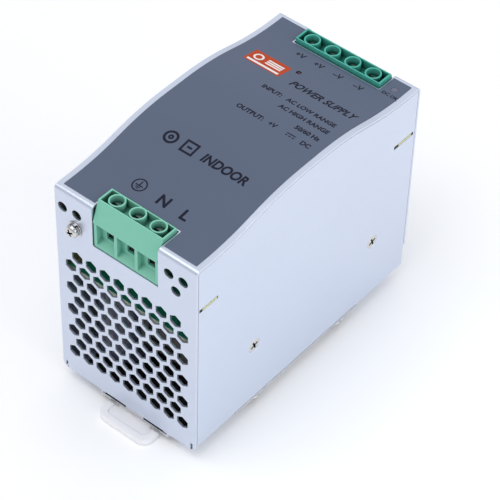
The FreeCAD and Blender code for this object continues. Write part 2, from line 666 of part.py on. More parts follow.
def make_trimmer():
    """Voltage trimmer: square body on the output board and a tall slotted shaft."""
    x, y = TRIMMER_AT
    body = box(x - 4.5, x + 4.5, y - 4.5, y + 4.5, BLOCK_Z0, TRIMMER_TOP)
    body = body.cut(rod(x, y, TRIMMER_TOP - 5.0, TRIMMER_TOP + 1, 4.1))
    shaft = join([rod(x, y, TRIMMER_TOP - 4.7, TRIMMER_TOP - 1.0, 4.0),
                  rod(x, y, TRIMMER_TOP - 1.1, TRIMMER_TIP, TRIMMER_D)])
    shaft = shaft.cut(box(x - 1.5, x + 1.5, y - 0.2, y + 0.2, TRIMMER_TIP - 0.8, TRIMMER_TIP + 1))
    return body, shaft


def make_range_switch():
    """Slide switch behind the left wall, and the actuator that a screwdriver moves."""
    wall = -INSIDE
    half = SWITCH_TRAVEL / 2
    body = box(wall, wall + 6.0, SWITCH_Y - 9, SWITCH_Y + 9, SWITCH_Z - 4.5, SWITCH_Z + 4.5)
    long, high = half + SWITCH_WINDOW[0], SWITCH_WINDOW[1]
    room = box(wall - 1, wall + 3.0, SWITCH_Y - long, SWITCH_Y + long, SWITCH_Z - high, SWITCH_Z + high)
    terminals = [box(wall + 6.0, wall + 6.4, SWITCH_Y + k * 4 - 0.8, SWITCH_Y + k * 4 + 0.8,
                     BOARD_TOP, SWITCH_Z + 1) for k in (-1, 0, 1)]
    body = join([body.cut(room)] + terminals)
    y = SWITCH_Y - half
    knob = box(wall - 0.7, wall + 2.7, y - 1.9, y + 1.9, SWITCH_Z - 2.3, SWITCH_Z + 2.3)
    knob = knob.cut(box(wall - 2, wall + 0.5, y - 0.5, y + 0.5, SWITCH_Z - 3, SWITCH_Z + 3))
    return body, knob


# ---- terminal blocks ----------------------------------------------------------------
def housing(poles):
    """Moulded terminal block with open wells above and wire bays at the end."""
    x0, x1 = poles[0] - 5.4, poles[-1] + 5.4
    outline = [(0.5, BLOCK_Z0), (BLOCK_BACK, BLOCK_Z0), (BLOCK_BACK, BLOCK_TOP),
               (3.2, BLOCK_TOP), (0.0, 87.0), (0.5, 86.8)]
    block = bar(outline, "x", x0, x1)
    floor = BLOCK_TOP - TRAY_DEPTH
    block = block.cut(box(x0 + 0.7, x1 - 0.7, 3.75, BLOCK_BACK - 0.5, floor, BLOCK_TOP + 1))
    for x in poles:
        block = block.fuse(rod(x, WELL_Y, floor - 0.2, BLOCK_TOP, WELL_OUT))
    cuts = []
    for x in poles:
        cuts.append(rod(x, WELL_Y, HEAD_SEAT - 0.35, BLOCK_TOP + 1, WELL_IN))
        cuts.append(rod(x, WELL_Y, CAVITY_TOP - 1, HEAD_SEAT, CLAMP_D + 1.0))
        cuts.append(box(x - 3.4, x + 3.4, CAVITY[0], CAVITY[1], BLOCK_Z0 - 1, CAVITY_TOP))
        cuts.append(bar([(-1, 76.0), (-1, BAY_TOP), (BAY_Y, BAY_TOP), (BAY_Y, 78.0), (0.4, 76.2)],
                        "x", x - BAY_W / 2, x + BAY_W / 2))
        cuts.append(box(x - 1.7, x + 1.7, 0, CAVITY[0] + 1, WIRE_HOLE[0], WIRE_HOLE[1]))
    return block.cut(cuts).removeSplitter()


def contact(x):
    """Fixed contact bar of one pole, with the tail that is soldered to the board."""
    return join([box(x - 1.75, x + 1.75, CAVITY[0], CAVITY[1], BAR_Z[0], BAR_Z[1]),
                 box(x - 1.2, x + 1.2, TIE_Y, CAVITY[1], BLOCK_Z0, BAR_Z[1])])


def clamp_screw(x):
    """Slotted clamp screw of one pole, turned fully out."""
    head = rod(x, WELL_Y, HEAD_SEAT, HEAD_TOP, HEAD_D)
    head = head.makeChamfer(0.35, edges_where(head, lambda p: p.z > HEAD_TOP - 0.01))
    shank = rod(x, WELL_Y, BAR_Z[1] + 0.35, HEAD_SEAT + 0.1, CLAMP_D)
    slot = box(x - 3, x + 3, WELL_Y - 0.4, WELL_Y + 0.4, HEAD_TOP - 1.0, HEAD_TOP + 1)
    return join([head, shank]).cut(slot)


def clamp_cage(x):
    """Rising cage of one pole, at its lowest: the screw lifts it to grip the wire."""
    y0, y1 = 5.0, 9.0
    jaw, top = BAR_Z[0] - CAGE_TRAVEL - THINNEST_WIRE, BAR_Z[1] + 1.55
    cage = box(x - 3.0, x + 3.0, y0, y1, jaw - CAGE_SHEET, top)
    cage = cage.cut(box(x - 2.1, x + 2.1, y0 - 1, y1 + 1, jaw, top - 1.2))
    return cage.cut(rod(x, WELL_Y, top - 2, top + 1, CLAMP_D + 2 * CLAMP_FIT))


# ---- write every part ---------------------------------------------------------------
save("front_cover", make_cover())
save("chassis", make_chassis())
save("label_film", make_label())
save("side_screws", make_side_screws())
save("earth_screw", make_earth_screw())
save("earth_washers", make_earth_washers())
save("earth_nut", make_earth_nut())
save("rail_clip", make_clip())
save("clip_screws", make_clip_screws())
save("latch", make_latch())
save("latch_spring", make_latch_spring())
save("main_board", make_main_board())
save("input_shelf", shelf_sheet(SHELF_Z["input"]))
save("output_shelf", at_output(shelf_sheet(SHELF_Z["output"])))
save("input_board", make_input_board())
save("output_board", make_output_board())
save("input_risers", make_input_risers())
save("output_risers", make_output_risers())
save("insulation_sheet", make_insulation())
save("left_heat_sink", make_heat_sink(-1))
save("right_heat_sink", make_heat_sink(1))
save("bulk_capacitors", group([can(x, y, BULK_D, BULK_L) for x, y in BULK_CAPS]))
save("output_capacitors", group([can(x, y, OUT_D, OUT_L) for x, y in OUT_CAPS]))
choke_core, choke_winding = make_choke()
save("choke_core", choke_core)
save("choke_winding", choke_winding)
save("filter_capacitor", make_filter_capacitor())
save("fuse", make_fuse())
save("thermistor", make_thermistor())
save("bridge_rectifier", power_device(1, 45.0, 22.0, 3.6))
save("switching_transistors", group([power_device(-1, y, 15.5, 4.6) for y in (66.0, 84.0)]))
save("output_diodes", group([power_device(1, y, 15.5, 4.6) for y in (72.0, 90.0)]))
core, bobbin, winding = make_transformer()
save("transformer_core", core)
save("transformer_bobbin", bobbin)
save("transformer_winding", winding)
ring, coil = make_inductor()
save("inductor_core", ring)
save("inductor_winding", coil)
save("control_chips", make_control_chips())
save("indicator_led", make_led())
trimmer_body, trimmer_shaft = make_trimmer()
save("trimmer_body", trimmer_body)
save("trimmer_shaft", trimmer_shaft)
switch_body, switch_knob = make_range_switch()
save("range_switch_body", switch_body)
save("range_switch_knob", switch_knob)
save("input_terminal_block", housing(INPUT_POLES))
save("output_terminal_block", at_output(housing(OUTPUT_POLES)))
save("input_contacts", group([contact(x) for x in INPUT_POLES]))
save("output_contacts", at_output(group([contact(x) for x in OUTPUT_POLES])))
for number, pole in enumerate(INPUT_POLES, 1):
    save("input_screw_%d" % number, clamp_screw(pole))
    save("input_cage_%d" % number, clamp_cage(pole))
for number, pole in enumerate(OUTPUT_POLES, 1):
    save("output_screw_%d" % number, at_output(clamp_screw(pole)))
    save("output_cage_%d" % number, at_output(clamp_cage(pole)))
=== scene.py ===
"""Looks of a rail-mounted power supply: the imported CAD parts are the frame, in metres."""
import math

import bmesh
import bpy
from mathutils import Matrix, Vector


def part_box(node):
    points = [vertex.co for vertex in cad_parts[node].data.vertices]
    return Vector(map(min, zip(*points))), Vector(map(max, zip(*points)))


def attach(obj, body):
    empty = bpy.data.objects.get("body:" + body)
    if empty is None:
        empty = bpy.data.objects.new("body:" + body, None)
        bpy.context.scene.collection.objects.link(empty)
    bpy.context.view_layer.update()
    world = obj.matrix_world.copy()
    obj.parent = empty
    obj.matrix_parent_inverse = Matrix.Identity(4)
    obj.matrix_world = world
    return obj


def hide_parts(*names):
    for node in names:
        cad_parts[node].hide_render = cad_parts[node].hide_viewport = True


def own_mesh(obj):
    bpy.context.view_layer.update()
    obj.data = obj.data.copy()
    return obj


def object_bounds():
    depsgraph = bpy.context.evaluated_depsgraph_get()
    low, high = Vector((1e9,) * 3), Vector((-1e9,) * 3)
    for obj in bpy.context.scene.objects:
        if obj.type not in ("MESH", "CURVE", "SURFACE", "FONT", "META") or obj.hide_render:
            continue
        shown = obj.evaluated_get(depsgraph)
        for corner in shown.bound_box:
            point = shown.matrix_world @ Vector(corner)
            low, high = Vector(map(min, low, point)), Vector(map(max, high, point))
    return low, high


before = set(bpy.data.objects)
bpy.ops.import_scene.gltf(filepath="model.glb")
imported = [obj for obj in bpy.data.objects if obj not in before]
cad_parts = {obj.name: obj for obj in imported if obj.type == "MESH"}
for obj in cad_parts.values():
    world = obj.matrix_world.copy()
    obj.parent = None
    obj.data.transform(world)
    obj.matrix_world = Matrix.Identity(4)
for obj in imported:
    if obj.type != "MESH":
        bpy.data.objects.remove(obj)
cad_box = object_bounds()

# ---- Studio -----------------------------------------------------------------------------
# A plain pale floor, a white sky of soft light, a large soft key above the input end and
# long soft fills. The lens is long, so the case's edges stay nearly parallel.
MM = 0.001
aim = Vector((7.8, -1.1, 45.7)) * MM
VIEW_AZIMUTH, VIEW_ELEVATION, VIEW_ROLL = (math.radians(a) for a in (38.48, 45.58, 1.88))
VIEW_DISTANCE = 0.8275
camera_data = bpy.data.cameras.new("camera")
camera_data.lens = 161.0
camera_data.sensor_width = 36.0
camera_data.clip_start, camera_data.clip_end = 0.05, 20
camera = bpy.data.objects.new("camera", camera_data)
bpy.context.scene.collection.objects.link(camera)
bpy.context.scene.camera = camera
turn = (Matrix.Rotation(VIEW_AZIMUTH, 4, "Z")
        @ Matrix.Rotation(math.pi / 2 - VIEW_ELEVATION, 4, "X")
        @ Matrix.Rotation(VIEW_ROLL, 4, "Z"))
camera.matrix_world = Matrix.Translation(aim + turn.col[2].xyz * VIEW_DISTANCE) @ turn


def soft_light(name, azimuth, elevation, distance, size, watts, tint=(1, 1, 1)):
    """Area light that looks at the case from a direction, given in degrees."""
    data = bpy.data.lights.new(name, "AREA")
    data.shape = "RECTANGLE"
    data.size, data.size_y = size
    data.energy = watts
    data.color = tint
    light = bpy.data.objects.new(name, data)
    bpy.context.scene.collection.objects.link(light)
    a, e = math.radians(azimuth), math.radians(elevation)
    out = Vector((math.sin(a) * math.cos(e), -math.cos(a) * math.cos(e), math.sin(e)))
    light.location = aim + out * distance
    light.rotation_euler = out.to_track_quat("Z", "Y").to_euler()


soft_light("key", -22, 69, 0.9, (0.7, 0.7), 3.1)
soft_light("side_fill", 100, 25, 0.9, (0.9, 0.5), 2.6, (0.95, 0.97, 1.0))
soft_light("back_rim", 200, 45, 0.9, (1.0, 0.8), 0.8)
world = bpy.data.worlds.new("sky")
world.use_nodes = True
world.node_tree.nodes["Background"].inputs["Color"].default_value = (0.93, 0.95, 1.0, 1)
world.node_tree.nodes["Background"].inputs["Strength"].default_value = 0.62
bpy.context.scene.world = world
bpy.context.scene.view_settings.view_transform = "Standard"

FLOOR_HALF = 6.0
floor_bm = bmesh.new()
bmesh.ops.create_grid(floor_bm, x_segments=1, y_segments=1, size=FLOOR_HALF)
bmesh.ops.translate(floor_bm, vec=(0, 0, cad_box[0][2]), verts=floor_bm.verts)
floor_mesh = bpy.data.meshes.new("floor")
floor_bm.to_mesh(floor_mesh)
floor_bm.free()
floor = bpy.data.objects.new("floor", floor_mesh)
bpy.context.scene.collection.objects.link(floor)
pale_floor = bpy.data.materials.new("pale_floor")
pale_floor.use_nodes = True
floor_shader = pale_floor.node_tree.nodes["Principled BSDF"]
floor_shader.inputs["Base Color"].default_value = (0.99, 0.99, 0.99, 1)
floor_shader.inputs["Roughness"].default_value = 0.9
floor_shader.inputs["Emission Color"].default_value = (1, 1, 1, 1)
floor_shader.inputs["Emission Strength"].default_value = 0.05
floor_mesh.materials.append(pale_floor)

# ---- Chassis ----------------------------------------------------------------------------
# One U of 1 mm zinc-plated steel, cut and folded: both side walls and the back, with folded
# corners, slots for the shelves' tabs and dimples for the countersunk screws.


def shader_group(name, inputs, outputs):
    """Empty shader node group with named float or vector inputs and float outputs."""
    tree = bpy.data.node_groups.new(name, "ShaderNodeTree")
    for label, kind, value in inputs:
        socket = tree.interface.new_socket(label, in_out="INPUT", socket_type="NodeSocket" + kind)
        socket.default_value = value
    for label, kind in outputs:
        tree.interface.new_socket(label, in_out="OUTPUT", socket_type="NodeSocket" + kind)
    return tree, tree.nodes.new("NodeGroupInput"), tree.nodes.new("NodeGroupOutput")


def grain_group():
    """Fine grain stretched along one direction, and slow cloudy variation, both 0 to 1."""
    tree, given, out = shader_group(
        "grain", [("Stretch", "Vector", (1, 1, 1)), ("Fine", "Float", 900.0), ("Slow", "Float", 30.0)],
        [("Grain", "Float"), ("Cloud", "Float")])
    place = tree.nodes.new("ShaderNodeTexCoord")
    stretch = tree.nodes.new("ShaderNodeVectorMath")
    stretch.operation = "MULTIPLY"
    tree.links.new(place.outputs["Object"], stretch.inputs[0])
    tree.links.new(given.outputs["Stretch"], stretch.inputs[1])
    for label, detail, source in (("Fine", 4.0, "Grain"), ("Slow", 3.0, "Cloud")):
        noise = tree.nodes.new("ShaderNodeTexNoise")
        noise.inputs["Detail"].default_value = detail
        vector = stretch.outputs[0] if label == "Fine" else place.outputs["Object"]
        tree.links.new(vector, noise.inputs["Vector"])
        tree.links.new(given.outputs[label], noise.inputs["Scale"])
        tree.links.new(noise.outputs["Fac"], out.inputs[source])
    return tree


def wear_and_shade_group():
    """Masks of worn edges, where a rounded normal leaves the true one, and of painted shade in corners
    and gaps, from ambient occlusion.
    """
    tree, given, out = shader_group(
        "edge_wear_and_painted_shade", [("Width", "Float", 0.0004), ("Break", "Float", 400.0), ("Reach", "Float", 0.004)],
        [("Mask", "Float"), ("PaintedShade", "Float")])
    # Painted shade: ambient occlusion gives a mask that darkens the colour in corners, recesses and gaps
    # where shade falls.
    shade = tree.nodes.new("ShaderNodeAmbientOcclusion")
    shade.samples = 8
    tree.links.new(given.outputs["Reach"], shade.inputs["Distance"])
    painted_shade_range = tree.nodes.new("ShaderNodeMapRange")
    painted_shade_range.inputs["From Min"].default_value, painted_shade_range.inputs["From Max"].default_value = 0.72, 0.15
    tree.links.new(shade.outputs["AO"], painted_shade_range.inputs["Value"])
    tree.links.new(painted_shade_range.outputs["Result"], out.inputs["PaintedShade"])
    rounded = tree.nodes.new("ShaderNodeBevel")
    rounded.samples = 4
    true = tree.nodes.new("ShaderNodeNewGeometry")
    dot = tree.nodes.new("ShaderNodeVectorMath")
    dot.operation = "DOT_PRODUCT"
    noise = tree.nodes.new("ShaderNodeTexNoise")
    place = tree.nodes.new("ShaderNodeTexCoord")
    spread = tree.nodes.new("ShaderNodeMapRange")
    spread.inputs["From Min"].default_value, spread.inputs["From Max"].default_value = 0.985, 0.8
    mask = tree.nodes.new("ShaderNodeMath")
    mask.operation = "MULTIPLY"
    mask.use_clamp = True
    tree.links.new(given.outputs["Width"], rounded.inputs["Radius"])
    tree.links.new(rounded.outputs["Normal"], dot.inputs[0])
    tree.links.new(true.outputs["Normal"], dot.inputs[1])
    tree.links.new(dot.outputs["Value"], spread.inputs["Value"])
    tree.links.new(place.outputs["Object"], noise.inputs["Vector"])
    tree.links.new(given.outputs["Break"], noise.inputs["Scale"])
    tree.links.new(spread.outputs["Result"], mask.inputs[0])
    tree.links.new(noise.outputs["Fac"], mask.inputs[1])
    tree.links.new(mask.outputs[0], out.inputs["Mask"])
    return tree


grain_nodes = grain_group()
wear_and_shade_nodes = wear_and_shade_group()
# Colour sockets of the Mix node, which share their names with its other kinds.
MIX_A, MIX_B, MIX_OUT = 6, 7, 2


def finish(name, colour, cloud_colour, rough, grain_bump=0.0, stretch=(1, 1, 1), fine=900.0,
           slow=30.0, edge_colour=None, edge_width=0.3, painted_shade_colour=None, **plain):
    """Material with cloudy colour, grained roughness and bump, worn edges and painted shade that darkens
    corners and recesses.
    """
    material = bpy.data.materials.new(name)
    material.use_nodes = True
    tree = material.node_tree
    shader = tree.nodes["Principled BSDF"]
    grain = tree.nodes.new("ShaderNodeGroup")
    grain.node_tree = grain_nodes
    grain.inputs["Stretch"].default_value = stretch
    grain.inputs["Fine"].default_value = fine
    grain.inputs["Slow"].default_value = slow
    mix = tree.nodes.new("ShaderNodeMix")
    mix.data_type = "RGBA"
    mix.inputs[MIX_A].default_value = (*colour, 1)
    mix.inputs[MIX_B].default_value = (*cloud_colour, 1)
    tree.links.new(grain.outputs["Cloud"], mix.inputs[0])
    result = mix.outputs[MIX_OUT]
    if edge_colour:
        wear_and_shade = tree.nodes.new("ShaderNodeGroup")
        wear_and_shade.node_tree = wear_and_shade_nodes
        wear_and_shade.inputs["Width"].default_value = edge_width * MM
        worn = tree.nodes.new("ShaderNodeMix")
        worn.data_type = "RGBA"
        worn.inputs[MIX_B].default_value = (*edge_colour, 1)
        tree.links.new(wear_and_shade.outputs["Mask"], worn.inputs[0])
        tree.links.new(result, worn.inputs[MIX_A])
        result = worn.outputs[MIX_OUT]
        # Painted shade: where the occlusion mask is high, the colour is mixed towards a dark shade
        # colour.
        if painted_shade_colour:
            sunk = tree.nodes.new("ShaderNodeMix")
            sunk.data_type = "RGBA"
            sunk.inputs[MIX_B].default_value = (*painted_shade_colour, 1)
            tree.links.new(wear_and_shade.outputs["PaintedShade"], sunk.inputs[0])
            tree.links.new(result, sunk.inputs[MIX_A])
            result = sunk.outputs[MIX_OUT]
    tree.links.new(result, shader.inputs["Base Color"])
    spread = tree.nodes.new("ShaderNodeMapRange")
    spread.inputs["From Min"].default_value, spread.inputs["From Max"].default_value = 0.3, 0.7
    spread.inputs["To Min"].default_value, spread.inputs["To Max"].default_value = rough
    tree.links.new(grain.outputs["Grain"], spread.inputs["Value"])
    tree.links.new(spread.outputs["Result"], shader.inputs["Roughness"])
    if grain_bump:
        bump = tree.nodes.new("ShaderNodeBump")
        bump.inputs["Strength"].default_value = 0.6
        bump.inputs["Distance"].default_value = grain_bump * MM
        tree.links.new(grain.outputs["Grain"], bump.inputs["Height"])
        tree.links.new(bump.outputs["Normal"], shader.inputs["Normal"])
    for socket, value in plain.items():
        shader.inputs[socket.replace("_", " ")].default_value = value
    return material


def cad_copy(node):
    """Copy of a CAD part's mesh with its triangles merged into clean faces."""
    bm = bmesh.new()
    bm.from_mesh(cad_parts[node].data)
    bmesh.ops.remove_doubles(bm, verts=bm.verts, dist=0.002 * MM)
    bmesh.ops.dissolve_limit(bm, angle_limit=math.radians(0.5), verts=bm.verts, edges=bm.edges)
    return bm


def soften(bm, width, segments=2, above=30):
    """Round every edge sharper than an angle, as a fold, a mould or a deburring leaves it."""
    sharp = [e for e in bm.edges if e.is_manifold and e.calc_face_angle() > math.radians(above)]
    bmesh.ops.bevel(bm, geom=sharp, offset=width * MM, offset_type="OFFSET", segments=segments,
                    profile=0.5, affect="EDGES", material=-1, clamp_overlap=False)


def new_piece(name, bm, material, body="case", stands_for=(), smooth=35):
    """Turn a bmesh into an object that rides on a CAD body and may stand for CAD nodes."""
    mesh = bpy.data.meshes.new(name)
    bm.to_mesh(mesh)
    bm.free()
    piece = bpy.data.objects.new(name, mesh)
    bpy.context.scene.collection.objects.link(piece)
    mesh.materials.append(material)
    if smooth:
        mesh.shade_smooth()
        mesh.set_sharp_from_angle(angle=math.radians(smooth))
        level = piece.modifiers.new("level_faces", "WEIGHTED_NORMAL")
        level.weight = 100
        level.keep_sharp = True
    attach(piece, body)
    if stands_for:
        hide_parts(*stands_for)
    return piece


# Its last colour is painted shade, mixed in by the occlusion mask to darken seams, slits and corners.
case_steel = finish("case_steel", (0.612, 0.667, 0.782), (0.647, 0.702, 0.817), (0.30, 0.38),
                    0.0006, (1, 0.4, 1), 420.0, 18.0, (0.86, 0.89, 0.96), 0.35,
                    (0.16, 0.175, 0.20), Metallic=0.72)
SHEET_EDGE = 0.12
chassis = cad_copy("chassis")
soften(chassis, SHEET_EDGE)
new_piece("folded_chassis", chassis, case_steel, stands_for=["chassis"])

# ---- Front cover ------------------------------------------------------------------------
# A C of the same sheet laid over the chassis: the vented input end, the curved front and
# the output end in one piece, with punched round and hexagonal holes.
cover = cad_copy("front_cover")
soften(cover, SHEET_EDGE)
new_piece("curved_cover", cover, case_steel, stands_for=["front_cover"])

# ---- Printed film -----------------------------------------------------------------------
# A satin grey-blue polyester film glued to the front, printed in black, with cut-outs for
# the terminals, the lamp and the trimmer. The print is 0.02 mm of ink on the curved face.
film_low, film_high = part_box("label_film")
case_low, case_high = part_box("front_cover")
FLAT_END, RISE_END, RISE = 5.6, 57.0, 6.0
film_blue = finish("film_blue", (0.078, 0.103, 0.162), (0.088, 0.115, 0.179), (0.36, 0.44), 0.003,
                   (1, 1, 1), 2200.0, 14.0, Specular_IOR_Level=0.45)
film = cad_copy("label_film")
new_piece("printed_film", film, film_blue, stands_for=["label_film"], smooth=25)


def film_height(y):
    """Height of the film's face at a distance y (mm) from the input end."""
    flat = film_low.z + (film_high.z - film_low.z) - RISE * MM
    length = (case_high.y - case_low.y) / MM
    y = min(y, length - y)
    if y >= RISE_END:
        return film_high.z
    if y <= FLAT_END:
        return flat
    run = RISE_END - FLAT_END
    radius = (run * run + RISE * RISE) / (4 * RISE)
    if y < (FLAT_END + RISE_END) / 2:
        return flat + (radius - math.sqrt(radius ** 2 - (y - FLAT_END) ** 2)) * MM
    return film_high.z - (radius - math.sqrt(radius ** 2 - (RISE_END - y) ** 2)) * MM


def new_verts(made):
    """Vertices that an extrusion has made."""
    return [g for g in made["geom"] if isinstance(g, bmesh.types.BMVert)]


INK_GAP, INK_T = 0.004, 0.02


def on_film(bm, x, y, lift=INK_T):
    """Lay a flat outline, drawn in mm round its own origin, on the film at x, y."""
    for v in bm.verts:
        place_y = y + v.co.y
        v.co = Vector(((x + v.co.x) * MM, case_low.y + place_y * MM,
                       film_height(place_y) + INK_GAP * MM))
    raised = bmesh.ops.extrude_face_region(bm, geom=list(bm.faces))
    bmesh.ops.translate(bm, vec=(0, 0, lift * MM), verts=new_verts(raised))
    bmesh.ops.recalc_face_normals(bm, faces=bm.faces)
    return bm


ink = finish("black_ink", (0.006, 0.007, 0.020), (0.010, 0.011, 0.028), (0.55, 0.65),
             Specular_IOR_Level=0.2)
CAP_HEIGHT = 0.72


def letters(name, words, x, y, height, align="LEFT", slant=0.0, width=1.0, weight=0.0):
    """Printed words: a text outline turned into a mesh and laid on the film."""
    curve = bpy.data.curves.new(name, "FONT")
    curve.body = words
    curve.size = height / CAP_HEIGHT
    curve.align_x = align
    curve.shear = slant
    curve.offset = weight
    curve.resolution_u = 3
    text = bpy.data.objects.new(name, curve)
    bpy.context.scene.collection.objects.link(text)
    bpy.context.view_layer.update()
    mesh = bpy.data.meshes.new_from_object(text)
    bm = bmesh.new()
    bm.from_mesh(mesh)
    bpy.data.objects.remove(text)
    bpy.data.meshes.remove(mesh)
    bmesh.ops.remove_doubles(bm, verts=bm.verts, dist=0.001)
    bmesh.ops.scale(bm, vec=(width, 1, 1), verts=bm.verts)
    new_piece(name, on_film(bm, x, y), ink, smooth=0)


def printed_shape(name, parts, x, y, material=ink, lift=INK_T):
    """Printed sign: rectangles (x, y, width, height) and rings (x, y, outer, inner) in mm."""
    bm = bmesh.new()
    for part in parts:
        if part[0] == "bar":
            _, px, py, w, h = part
            made = bmesh.ops.create_grid(bm, x_segments=1, y_segments=max(1, round(h)),
                                         size=0.5)["verts"]
            bmesh.ops.scale(bm, vec=(w, h, 1), verts=made)
        else:
            _, px, py, outer, inner = part
            made = bmesh.ops.create_circle(bm, segments=40, radius=outer)["verts"]
            rim = list({e for v in made for e in v.link_edges})
            inside = new_verts(bmesh.ops.extrude_edge_only(bm, edges=rim))
            bmesh.ops.scale(bm, vec=(inner / outer, inner / outer, 1), verts=inside)
            made = made + inside
        bmesh.ops.translate(bm, vec=(px, py, 0), verts=made)
    new_piece(name, on_film(bm, x, y, lift), material, smooth=0)


letters("legend_title", "POWER SUPPLY", -2.4, 91.3, 3.6, slant=0.25, width=0.83, weight=0.14)
letters("legend_input_low", "INPUT:   AC LOW RANGE", -7.8, 82.4, 2.1, weight=0.1)
letters("legend_input_high", "AC HIGH RANGE", 26.4, 77.5, 2.1, "RIGHT", weight=0.1)
letters("legend_frequency", "50/60 Hz", 26.4, 72.2, 2.1, "RIGHT", weight=0.1)
letters("legend_output", "OUTPUT:   +V", -7.4, 67.5, 2.1, weight=0.1)
letters("legend_current", "DC", 26.4, 67.0, 2.1, "RIGHT", weight=0.1)
letters("legend_indoor", "INDOOR", 0.2, 38.9, 3.9, slant=0.15, width=0.92, weight=0.19)
letters("legend_neutral", "N", -0.4, 16.0, 4.6, weight=0.22)
letters("legend_line", "L", 10.6, 15.6, 4.6, weight=0.22)
for number, (sign, x) in enumerate((("+V", -13.2), ("+V", -4.6), ("–V", 4.5), ("–V", 13.9)), 1):
    letters("legend_output_%d" % number, sign, x, 108.2, 2.6, weight=0.08)
letters("legend_lamp", "DC OK", 23.7, 113.0, 1.55, weight=0.06)
printed_shape("legend_earth", [("ring", 0, 0, 2.95, 2.4), ("bar", 0, 0.9, 0.5, 2.0),
                               ("bar", 0, -0.2, 3.3, 0.5), ("bar", 0, -0.95, 2.1, 0.4),
                               ("bar", 0, -1.6, 1.0, 0.4)], -9.5, 18.6)
printed_shape("legend_dc", [("bar", 0, 0.55, 3.9, 0.45), ("bar", -1.5, -0.55, 0.9, 0.45),
                            ("bar", 0, -0.55, 0.9, 0.45), ("bar", 1.5, -0.55, 0.9, 0.45)], 17.4, 68.2)
printed_shape("legend_ring", [("ring", 0, 0, 3.0, 2.0), ("ring", 0, 0, 1.1, 0.3)], -14.6, 41.0)
printed_shape("legend_cell", [("bar", -2.5, 0, 0.9, 5.9), ("bar", 2.5, 0, 0.9, 5.9),
                              ("bar", 0, 2.5, 4.1, 0.9), ("bar", 0, -2.5, 4.1, 0.9),
                              ("bar", 0, 0, 2.2, 0.9)], -6.0, 41.0)
BADGE_X, BADGE_Y = -16.0, 96.1
badge_red = finish("badge_red", (0.44, 0.046, 0.004), (0.50, 0.053, 0.006), (0.45, 0.55),
                   Specular_IOR_Level=0.25)
badge_white = finish("badge_white", (0.78, 0.76, 0.74), (0.84, 0.82, 0.80), (0.4, 0.5))
printed_shape("badge_field", [("bar", 0, 0, 16.6, 8.4)], BADGE_X, BADGE_Y, badge_red)
printed_shape("badge_marks", [("ring", -4.6, 0.7, 2.1, 1.35), ("bar", 2.9, 1.9, 7.2, 0.75),
                              ("bar", 2.9, 0.7, 7.2, 0.75), ("bar", 2.9, -0.5, 7.2, 0.75),
                              ("bar", 0, -2.9, 14.6, 1.1)],
              BADGE_X, BADGE_Y, badge_white, 0.035)

# ---- Terminal blocks --------------------------------------------------------------------
# Moulded polyamide housings with open screw wells and funnel-shaped wire bays. The input
# block is a lighter green than the output block.
# In both plastics the last colour is painted shade, darkening the screw wells, the trays and the wire
# bays.
mint = finish("mint_polyamide", (0.19, 0.545, 0.40), (0.215, 0.575, 0.43), (0.36, 0.46), 0.0,
              (1, 1, 1), 1800.0, 60.0, (0.42, 0.78, 0.64), 0.3, (0.03, 0.16, 0.12),
              Subsurface_Weight=0.05, Subsurface_Radius=(0.002, 0.003, 0.002), Subsurface_Scale=0.3)
teal = finish("teal_polyamide", (0.05, 0.40, 0.31), (0.06, 0.43, 0.34), (0.34, 0.44), 0.0,
              (1, 1, 1), 1800.0, 60.0, (0.2, 0.66, 0.55), 0.3, (0.008, 0.09, 0.07),
              Subsurface_Weight=0.05, Subsurface_Radius=(0.001, 0.003, 0.002), Subsurface_Scale=0.3)
for end, plastic, plastic_slot in (("input", mint, "terminal_mint"), ("output", teal, "terminal_green")):
    block = cad_copy(end + "_terminal_block")
    soften(block, 0.14)
    new_piece(end + "_housing", block, plastic, stands_for=[end + "_terminal_block"])

# ---- Clamp screws, cages and contacts ---------------------------------------------------
# Turned, zinc-plated slotted screws in the wells, one to a pole; each lifts a folded steel
# cage against a tinned brass contact bar.
# Its last colour is painted shade, darkening the screw slots and the cages' wire holes.
screw_zinc = finish("screw_zinc", (0.74, 0.74, 0.73), (0.84, 0.84, 0.82), (0.20, 0.34), 0.0,
                    (1, 1, 1), 2500.0, 200.0, (0.95, 0.95, 0.93), 0.2, (0.05, 0.06, 0.05), Metallic=1.0)
contact_tin = finish("contact_tin", (0.70, 0.64, 0.46), (0.76, 0.72, 0.58), (0.25, 0.4), 0.0,
                     (1, 1, 1), 1500.0, 150.0, Metallic=1.0)


def turned(profile, steps=36):
    """Solid spun about Z from an outline of (radius, height) in mm, axis to axis."""
    bm = bmesh.new()
    line = [bm.verts.new((r * MM, 0, h * MM)) for r, h in profile]
    edges = [bm.edges.new(pair) for pair in zip(line, line[1:])]
    bmesh.ops.spin(bm, geom=line + edges, cent=(0, 0, 0), axis=(0, 0, 1), angle=math.tau,
                   steps=steps, use_merge=True)
    bmesh.ops.remove_doubles(bm, verts=bm.verts, dist=0.001 * MM)
    bmesh.ops.recalc_face_normals(bm, faces=bm.faces)
    return bm


RECESS_TAPER = 0.86


